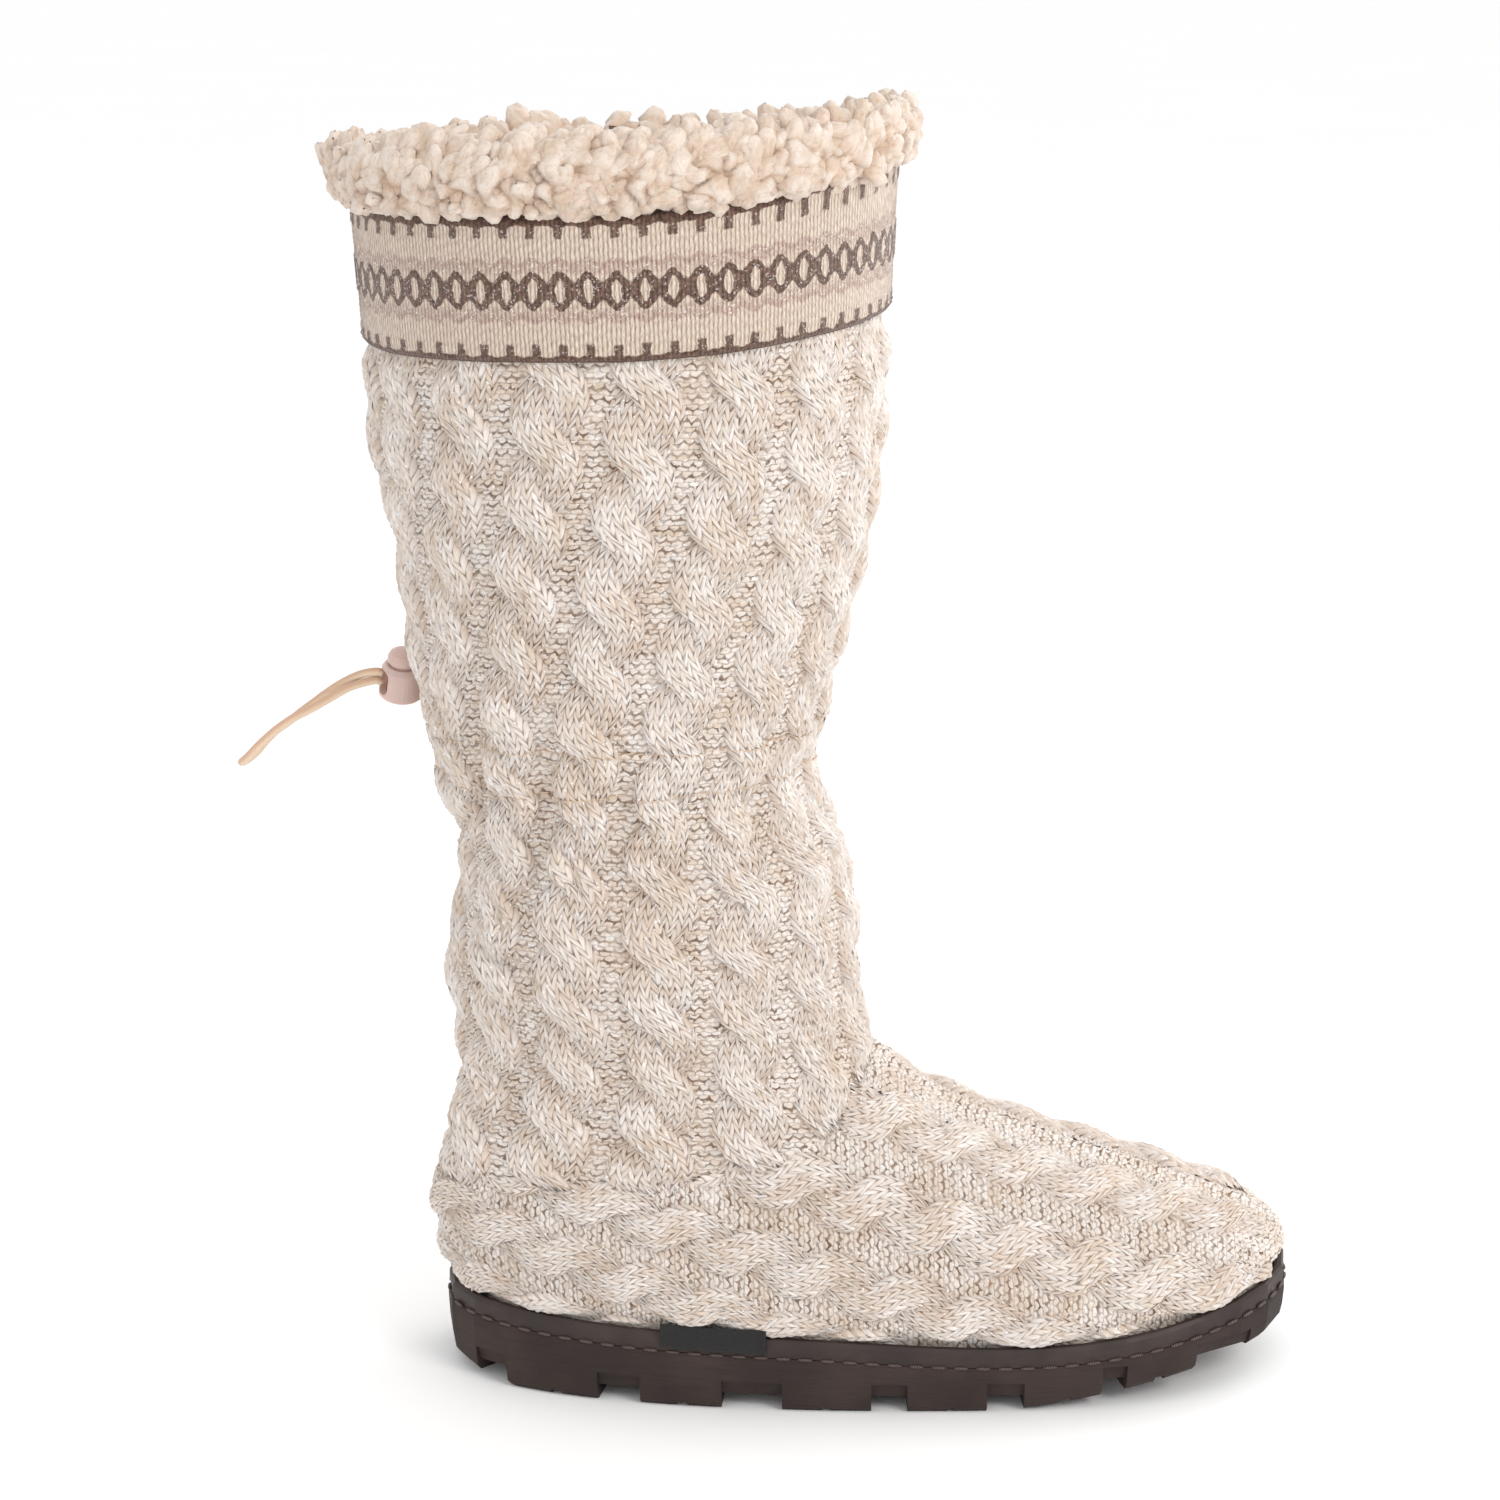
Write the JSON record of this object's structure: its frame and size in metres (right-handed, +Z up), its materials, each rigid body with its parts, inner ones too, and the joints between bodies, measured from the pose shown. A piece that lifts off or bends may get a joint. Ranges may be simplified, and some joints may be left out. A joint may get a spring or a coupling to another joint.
{
  "type": "boot slipper",
  "caption": "Tall cable-knit boot slipper with a rolled fleece collar, a woven cuff band, a drawcord with a push-button lock behind the shaft, and a brown lug sole.",
  "frame": {"origin": "under the middle of the boot's box, measured without the cord and its lock, on the ground it stands on", "axes": "+X to the toe, +Y to the inner side of this right boot, +Z up"},
  "size_m": [0.3394, 0.166, 0.4026],
  "materials": {
    "rubber": "matte",
    "leather": "smooth satin",
    "knit": "marled cable knit",
    "insole_pile": "pile",
    "ribbon": "woven",
    "fleece": "tufted pile",
    "tag_cloth": "woven satin",
    "lock_plastic": "satin",
    "cord": "satin"
  },
  "bodies": {
    "boot": {"outsole": "rubber", "rand": "leather", "upper": "knit", "insole": "insole_pile", "cuff_band": "ribbon", "fleece_collar": "fleece", "side_tag": "tag_cloth", "lock_barrel": "lock_plastic", "drawcord": "cord"},
    "button": {"lock_button": "lock_plastic"}
  },
  "joints": [
    {"name": "button_press", "type": "slide", "parent": "boot", "child": "button", "axis": [0.1344, -0.2588, 0.9565], "range_m": [-0.0009, 0], "stiffness_N_per_m": 200, "springref_m": 0.002}
  ]
}
